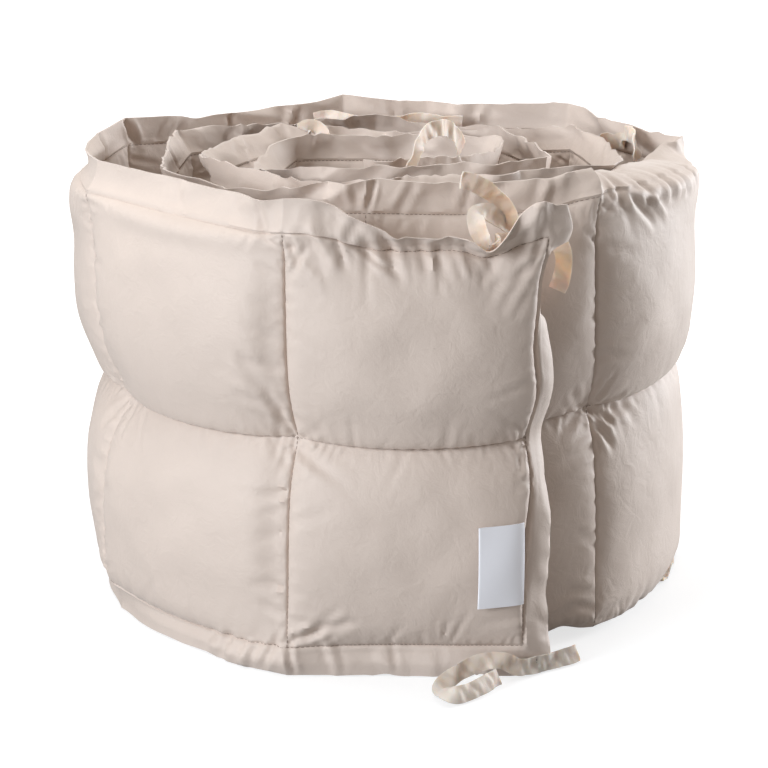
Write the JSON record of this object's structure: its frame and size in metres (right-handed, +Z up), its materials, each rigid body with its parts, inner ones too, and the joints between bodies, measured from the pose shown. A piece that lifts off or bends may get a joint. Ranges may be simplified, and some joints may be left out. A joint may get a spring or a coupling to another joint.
{
  "type": "rolled crib bumper",
  "caption": "Long quilted crib bumper with square filled pockets and a flat stitched hem, rolled up on its lower edge, with cotton tape ties and a bare side label.",
  "frame": {"origin": "on the floor, under the middle of the whole part's box, the tape ties included", "axes": "+Z up along the roll's axis, which is also up the strip's height; -Y towards the free end and its label; +X to the right seen from there"},
  "size_m": [0.4157, 0.4637, 0.3236],
  "materials": {
    "cover": "fine plain-woven cotton with a slight sheen, sewn in square pockets with a darker taupe thread",
    "tape": "matt folded cotton tape that lets some light through",
    "label": "smooth white woven tape, bare"
  },
  "bodies": {
    "root": {"quilted_roll": "cover", "tie_top_0": "tape", "tie_top_1": "tape", "tie_top_2": "tape", "tie_top_3": "tape", "tie_top_4": "tape", "tie_bottom_0": "tape", "tie_bottom_1": "tape", "tie_bottom_2": "tape", "tie_bottom_3": "tape", "tie_bottom_4": "tape", "label": "label"}
  },
  "joints": []
}
